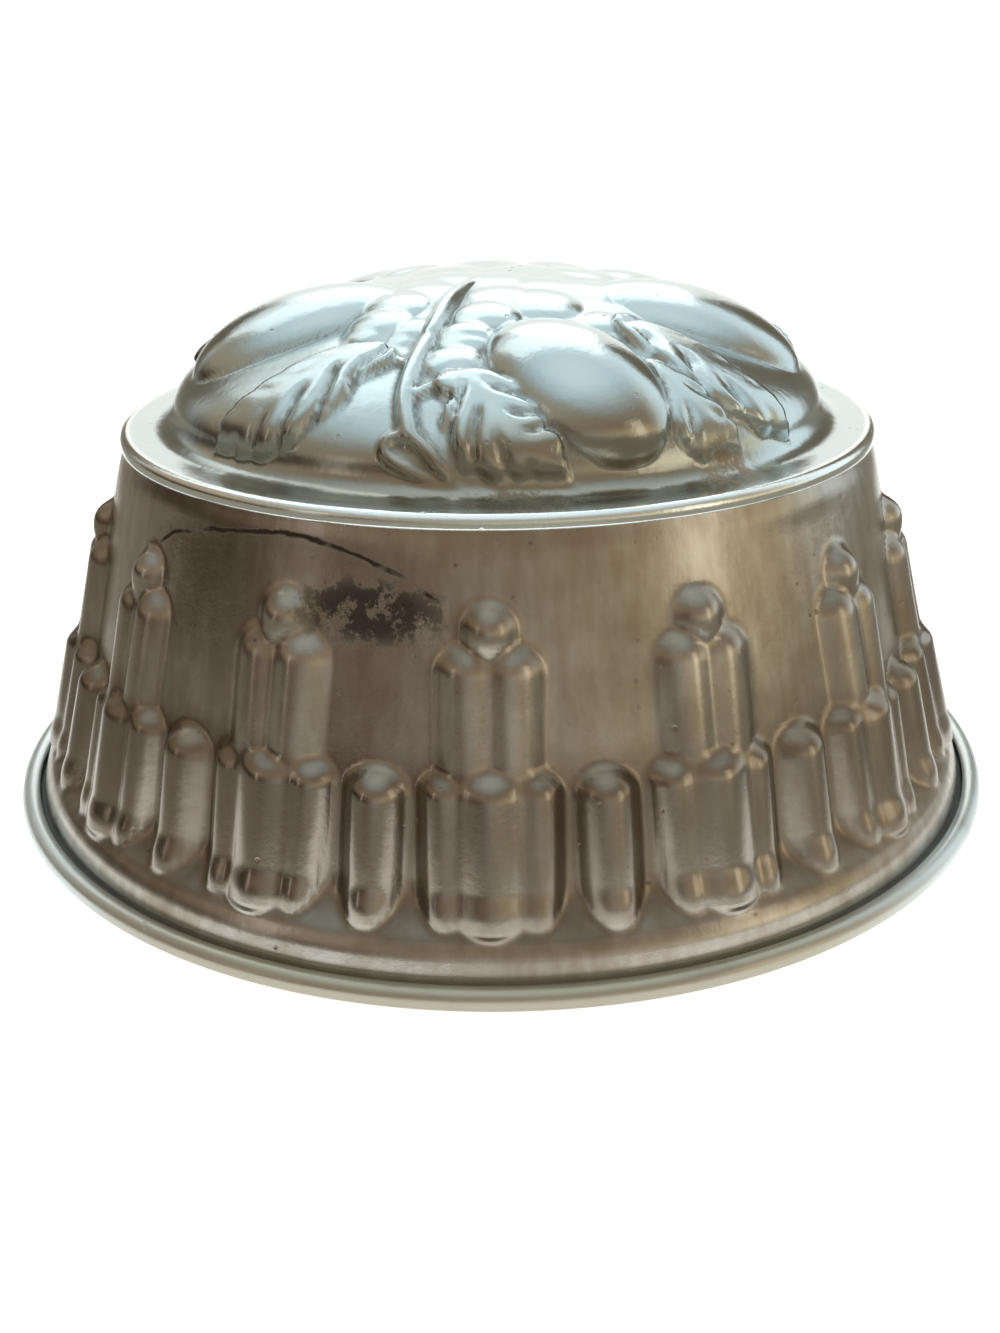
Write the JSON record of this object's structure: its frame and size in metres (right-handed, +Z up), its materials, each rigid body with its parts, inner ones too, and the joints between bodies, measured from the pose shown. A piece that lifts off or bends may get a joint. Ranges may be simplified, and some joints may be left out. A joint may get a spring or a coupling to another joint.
{
  "type": "jelly mould",
  "caption": "Round tinned-steel jelly mould with a wired rim, a tapered wall of pressed columns and a domed crown of fruit and leaves.",
  "frame": {"origin": "on the mould's axis, at the height of the surface that its rim rests on", "axes": "+Z up through the middle of the crown, -Y towards the front of the picture"},
  "size_m": [0.19, 0.19, 0.0949],
  "materials": {
    "crown_tin": "worn bright tin, hand polished",
    "wall_tin": "worn tin with a brown patina",
    "wire_steel": "drawn steel wire",
    "solder": "dull soft solder"
  },
  "bodies": {
    "root": {"crown": "crown_tin", "side_wall": "wall_tin", "rim_wire": "wire_steel", "crown_solder": "solder", "side_seam_solder": "solder"}
  },
  "joints": []
}
